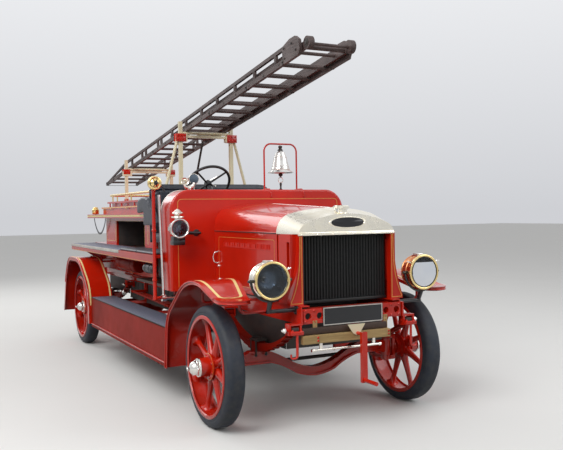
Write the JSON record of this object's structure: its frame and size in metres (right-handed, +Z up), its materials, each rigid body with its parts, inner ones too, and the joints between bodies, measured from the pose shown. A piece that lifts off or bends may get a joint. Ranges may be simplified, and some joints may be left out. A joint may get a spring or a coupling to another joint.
{
  "type": "fire engine",
  "caption": "Open fire engine of the 1920s: long red body, solid tyres, side benches, brass lamps and bell, and a wooden sliding ladder carried on overhead gantries.",
  "frame": {"origin": "middle of the bounding box at ground level", "axes": "+X forward, +Y to the vehicle's left, +Z up"},
  "size_m": [6.7153, 2.17, 2.9775],
  "materials": {
    "red_paint": "deep gloss coach enamel, a little dusty",
    "cream_paint": "worn semi-gloss paint",
    "black_iron": "oily black iron",
    "bare_iron": "dull iron",
    "polished_steel": "polished nickel",
    "brass": "polished, softly tarnished",
    "solid_tyre": "worn solid rubber",
    "ladder_wood": "weathered varnished ash",
    "board_wood": "dark stained board",
    "dark_leather": "buttoned hide",
    "lamp_glass": "clear"
  },
  "bodies": {
    "chassis": {"bell": "polished_steel", "bell_hoop": "red_paint", "bench_pads": "dark_leather", "body_box": "red_paint", "body_tiers": "red_paint", "bonnet_hinge": "brass", "brass_rails": "brass", "bulb_horn": "polished_steel", "cab_floor": "board_wood", "chassis_frame": "red_paint", "engine_block": "bare_iron", "front_axle": "red_paint", "front_crossmember": "red_paint", "front_guards": "red_paint", "gantry_front": "cream_paint", "gantry_rear": "cream_paint", "hand_brake": "polished_steel", "headlamps": "brass", "lamp_glasses": "lamp_glass", "leaf_springs": "red_paint", "lower_board": "board_wood", "mirror": "polished_steel", "number_plate": "black_iron", "pump": "bare_iron", "radiator_core": "bare_iron", "radiator_pillars": "red_paint", "radiator_shell": "brass", "rear_axle": "red_paint", "rear_guards": "red_paint", "running_boards": "black_iron", "scuttle": "red_paint", "seat_back": "dark_leather", "seat_cushion": "dark_leather", "side_benches": "red_paint", "side_lamps": "polished_steel", "side_valances": "red_paint", "siren": "polished_steel", "spring_hangers": "red_paint", "starting_handle": "red_paint", "steering_column": "black_iron", "tow_hooks": "red_paint", "transmission": "bare_iron"},
    "knuckle_right": {"knuckle_right": "red_paint"},
    "knuckle_left": {"knuckle_left": "red_paint"},
    "track_rod": {"track_rod": "bare_iron"},
    "steering_wheel": {"steering_wheel": "black_iron"},
    "ladder_main": {"ladder_main": "ladder_wood"},
    "ladder_fly": {"ladder_fly": "ladder_wood"},
    "wheel_front_right": {"wheel_front_right": "red_paint", "tyre_front_right": "solid_tyre"},
    "wheel_front_left": {"wheel_front_left": "red_paint", "tyre_front_left": "solid_tyre"},
    "wheel_rear_right": {"wheel_rear_right": "red_paint", "tyre_rear_right": "solid_tyre"},
    "wheel_rear_left": {"wheel_rear_left": "red_paint", "tyre_rear_left": "solid_tyre"},
    "bonnet_top_right": {"bonnet_top_right": "red_paint"},
    "bonnet_side_right": {"bonnet_side_right": "red_paint"},
    "bonnet_top_left": {"bonnet_top_left": "red_paint"},
    "bonnet_side_left": {"bonnet_side_left": "red_paint"}
  },
  "joints": [
    {"name": "steer_right", "type": "hinge", "parent": "chassis", "child": "knuckle_right", "pos_m": [2.45, -0.7, 0.46], "axis": [0, 0, 1], "range_deg": [-32, 32]},
    {"name": "steer_left", "type": "hinge", "parent": "chassis", "child": "knuckle_left", "pos_m": [2.45, 0.7, 0.46], "axis": [0, 0, 1], "range_deg": [-32, 32]},
    {"name": "track_rod_swing", "type": "hinge", "parent": "knuckle_left", "child": "track_rod", "pos_m": [2.25, 0.7, 0.402], "axis": [0, 0, 1], "range_deg": [-32, 32]},
    {"name": "steering_wheel_turn", "type": "hinge", "parent": "chassis", "child": "steering_wheel", "pos_m": [1.06, -0.35, 1.899], "axis": [-0.7431, 0, 0.6691], "range_deg": [-384, 384]},
    {"name": "spin_front_right", "type": "hinge", "parent": "knuckle_right", "child": "wheel_front_right", "pos_m": [2.45, -0.875, 0.46], "axis": [0, 1, 0], "continuous": true},
    {"name": "spin_front_left", "type": "hinge", "parent": "knuckle_left", "child": "wheel_front_left", "pos_m": [2.45, 0.875, 0.46], "axis": [0, 1, 0], "continuous": true},
    {"name": "spin_rear_right", "type": "hinge", "parent": "chassis", "child": "wheel_rear_right", "pos_m": [-1.967, -0.861, 0.46], "axis": [0, 1, 0], "continuous": true},
    {"name": "spin_rear_left", "type": "hinge", "parent": "chassis", "child": "wheel_rear_left", "pos_m": [-1.967, 0.861, 0.46], "axis": [0, 1, 0], "continuous": true},
    {"name": "bonnet_top_right_lift", "type": "hinge", "parent": "chassis", "child": "bonnet_top_right", "pos_m": [2.125, 0, 1.6785], "axis": [-0.9989, 0, 0.0464], "range_deg": [0, 60]},
    {"name": "bonnet_top_left_lift", "type": "hinge", "parent": "chassis", "child": "bonnet_top_left", "pos_m": [2.125, 0, 1.6785], "axis": [0.9989, 0, -0.0464], "range_deg": [0, 60]},
    {"name": "bonnet_side_right_hang", "type": "hinge", "parent": "bonnet_top_right", "child": "bonnet_side_right", "pos_m": [2.125, -0.4635, 1.467], "axis": [-1, 0, 0], "range_deg": [-45, 0]},
    {"name": "bonnet_side_left_hang", "type": "hinge", "parent": "bonnet_top_left", "child": "bonnet_side_left", "pos_m": [2.125, 0.4635, 1.467], "axis": [1, 0, 0], "range_deg": [-45, 0]},
    {"name": "ladder_slide", "type": "slide", "parent": "chassis", "child": "ladder_main", "axis": [0.992, 0, 0.1262], "range_m": [-1.5, 0]},
    {"name": "fly_slide", "type": "slide", "parent": "ladder_main", "child": "ladder_fly", "axis": [0.992, 0, 0.1262], "range_m": [0, 2.4]}
  ],
  "couplings": [
    {"joint": "steer_left", "follows": "steer_right", "ratio": 1},
    {"joint": "track_rod_swing", "follows": "steer_right", "ratio": -1},
    {"joint": "steering_wheel_turn", "follows": "steer_right", "ratio": 12},
    {"joint": "bonnet_side_right_hang", "follows": "bonnet_top_right_lift", "ratio": -0.75},
    {"joint": "bonnet_side_left_hang", "follows": "bonnet_top_left_lift", "ratio": -0.75}
  ]
}
